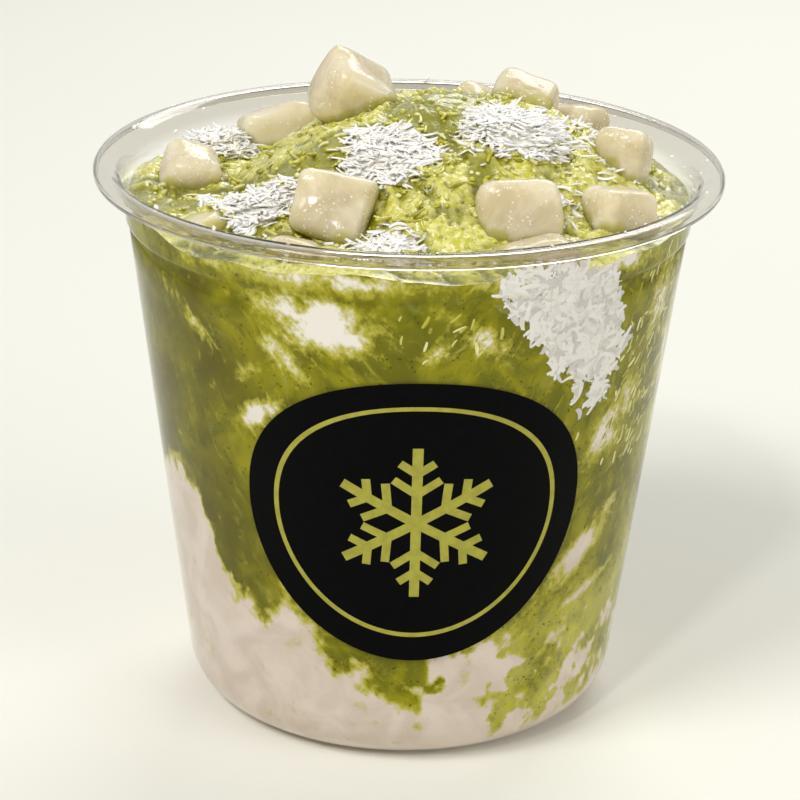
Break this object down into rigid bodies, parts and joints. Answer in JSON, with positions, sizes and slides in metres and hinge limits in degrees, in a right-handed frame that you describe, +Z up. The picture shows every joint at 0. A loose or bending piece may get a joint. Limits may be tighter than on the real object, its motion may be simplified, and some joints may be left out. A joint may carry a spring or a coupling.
{
  "type": "shaved ice dessert in a plastic cup",
  "caption": "Green and white shaved ice dessert heaped in a clear tapered plastic cup, topped with cubes of pale fruit and piles of shredded coconut.",
  "frame": {"origin": "centre of the cup's base, on the surface it stands on", "axes": "+Z up along the cup's axis, -Y towards the cup's front with the dark print, +X to the right of that front"},
  "size_m": [0.12, 0.12, 0.1271],
  "materials": {
    "clear_plastic": "clear and glossy thin plastic",
    "milk_ice": "white milk ice, damp and granular",
    "green_ice": "wet green shaved ice, uneven and marbled with white",
    "fruit": "pale translucent jelly-like fruit, wet",
    "coconut": "white shredded coconut"
  },
  "bodies": {
    "root": {"cup": "clear_plastic", "milk_ice": "milk_ice", "green_ice": "green_ice", "fruit_cube_top": "fruit", "fruit_cube_back_left": "fruit", "fruit_cube_left": "fruit", "fruit_cube_front_left": "fruit", "fruit_cube_front_right": "fruit", "fruit_cube_right": "fruit", "fruit_cube_far_right": "fruit", "fruit_cube_back_right": "fruit", "fruit_cube_back_middle": "fruit", "fruit_cube_sunk_front_right": "fruit", "fruit_cube_sunk_front_left": "fruit", "fruit_cube_sunk_left": "fruit", "fruit_cube_far_back_right": "fruit", "coconut_pile_middle": "coconut", "coconut_pile_right": "coconut", "coconut_pile_left": "coconut", "coconut_pile_back_left": "coconut", "coconut_pile_front": "coconut"}
  },
  "joints": []
}
